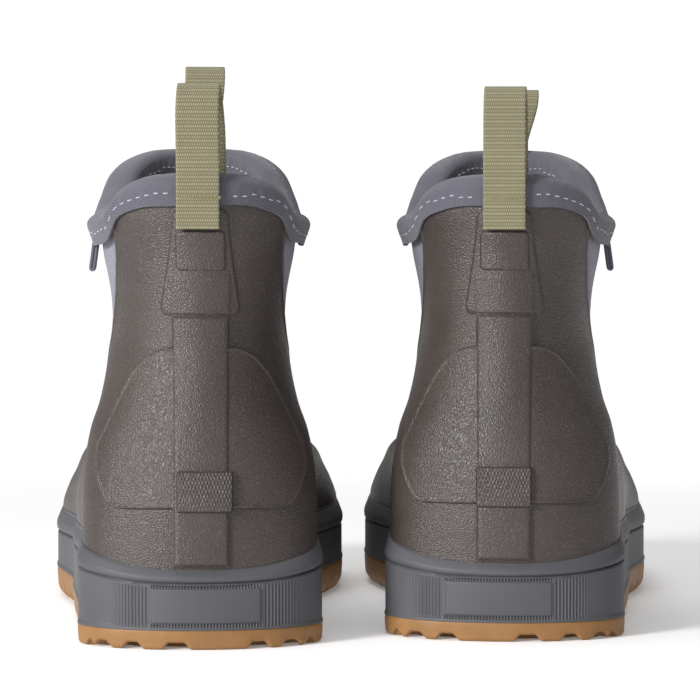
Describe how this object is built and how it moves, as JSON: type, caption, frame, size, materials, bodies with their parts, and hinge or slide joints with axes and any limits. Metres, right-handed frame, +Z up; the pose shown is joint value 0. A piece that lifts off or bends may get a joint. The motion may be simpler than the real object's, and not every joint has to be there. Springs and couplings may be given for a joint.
{
  "type": "pair of ankle deck boots",
  "caption": "Pair of pull-on rubber ankle deck boots with side stretch panels, webbing pull loops front and rear, and grooved gum soles.",
  "frame": {"origin": "on the ground, in the middle of the pair's bounding box", "axes": "+Y towards the toes, +Z up, +X towards the wearer's right"},
  "size_m": [0.2492, 0.3341, 0.217],
  "materials": {
    "gum_rubber": "matte gum rubber",
    "grey_rubber": "satin moulded rubber",
    "brown_rubber": "fine pebbled rubber, semi-matte",
    "neoprene": "smooth knit-faced neoprene",
    "lining_cloth": "brushed knit",
    "binding_cloth": "twill strip",
    "webbing": "woven webbing",
    "thread": "polyester thread",
    "foam": "closed-cell foam",
    "footbed_foam": "cloth-faced foam",
    "board": "fibre board",
    "steel": "plain steel",
    "stiffener": "thermoplastic sheet"
  },
  "bodies": {
    "left_boot": {"left_outsole": "gum_rubber", "left_sidewall": "grey_rubber", "left_heel_plate": "grey_rubber", "left_midsole": "foam", "left_shank": "steel", "left_insole_board": "board", "left_footbed": "footbed_foam", "left_rear_quarter": "brown_rubber", "left_vamp": "brown_rubber", "left_toe_cap": "brown_rubber", "left_toe_puff": "stiffener", "left_heel_counter": "stiffener", "left_heel_panel": "brown_rubber", "left_back_band": "brown_rubber", "left_kick_tab": "brown_rubber", "left_rear_loop_patch": "brown_rubber", "left_rear_loop_pad": "brown_rubber", "left_front_loop_patch": "brown_rubber", "left_lining": "lining_cloth", "left_collar_padding": "lining_cloth", "left_lateral_gusset": "neoprene", "left_medial_gusset": "neoprene", "left_collar_binding": "binding_cloth", "left_binding_stitching": "thread", "left_rear_loop_tails": "webbing", "left_front_loop_tails": "webbing"},
    "left_rear_pull": {"left_rear_loop": "webbing"},
    "left_front_pull": {"left_front_loop": "webbing"},
    "left_tag": {"left_side_tag": "binding_cloth"},
    "right_boot": {"right_outsole": "gum_rubber", "right_sidewall": "grey_rubber", "right_heel_plate": "grey_rubber", "right_midsole": "foam", "right_shank": "steel", "right_insole_board": "board", "right_footbed": "footbed_foam", "right_rear_quarter": "brown_rubber", "right_vamp": "brown_rubber", "right_toe_cap": "brown_rubber", "right_toe_puff": "stiffener", "right_heel_counter": "stiffener", "right_heel_panel": "brown_rubber", "right_back_band": "brown_rubber", "right_kick_tab": "brown_rubber", "right_rear_loop_patch": "brown_rubber", "right_rear_loop_pad": "brown_rubber", "right_front_loop_patch": "brown_rubber", "right_lining": "lining_cloth", "right_collar_padding": "lining_cloth", "right_lateral_gusset": "neoprene", "right_medial_gusset": "neoprene", "right_collar_binding": "binding_cloth", "right_binding_stitching": "thread", "right_rear_loop_tails": "webbing", "right_front_loop_tails": "webbing"},
    "right_rear_pull": {"right_rear_loop": "webbing"},
    "right_front_pull": {"right_front_loop": "webbing"},
    "right_tag": {"right_side_tag": "binding_cloth"}
  },
  "joints": [
    {"name": "left_rear_loop_hinge", "type": "hinge", "parent": "left_boot", "child": "left_rear_pull", "pos_m": [-0.05568, -0.15567, 0.1746], "axis": [0.998, 0.0628, 0], "range_deg": [-60, 75], "stiffness_Nm_per_rad": 0.02},
    {"name": "left_front_loop_hinge", "type": "hinge", "parent": "left_boot", "child": "left_front_pull", "pos_m": [-0.06166, -0.05089, 0.186], "axis": [-0.998, -0.0628, 0], "range_deg": [-60, 75], "stiffness_Nm_per_rad": 0.02},
    {"name": "left_tag_hinge", "type": "hinge", "parent": "left_boot", "child": "left_tag", "pos_m": [-0.09858, -0.11248, 0.14529], "axis": [-0.0628, 0.998, 0], "range_deg": [0, 60], "stiffness_Nm_per_rad": 0.002},
    {"name": "right_boot_lift", "type": "slide", "parent": "left_boot", "child": "right_boot", "axis": [0, 0, 1], "range_m": [0, 0.3]},
    {"name": "right_rear_loop_hinge", "type": "hinge", "parent": "right_boot", "child": "right_rear_pull", "pos_m": [0.05568, -0.13267, 0.1746], "axis": [0.998, -0.0628, 0], "range_deg": [-60, 75], "stiffness_Nm_per_rad": 0.02},
    {"name": "right_front_loop_hinge", "type": "hinge", "parent": "right_boot", "child": "right_front_pull", "pos_m": [0.06166, -0.02789, 0.186], "axis": [-0.998, 0.0628, 0], "range_deg": [-60, 75], "stiffness_Nm_per_rad": 0.02},
    {"name": "right_tag_hinge", "type": "hinge", "parent": "right_boot", "child": "right_tag", "pos_m": [0.09858, -0.08948, 0.14529], "axis": [-0.0628, -0.998, 0], "range_deg": [0, 60], "stiffness_Nm_per_rad": 0.002}
  ]
}
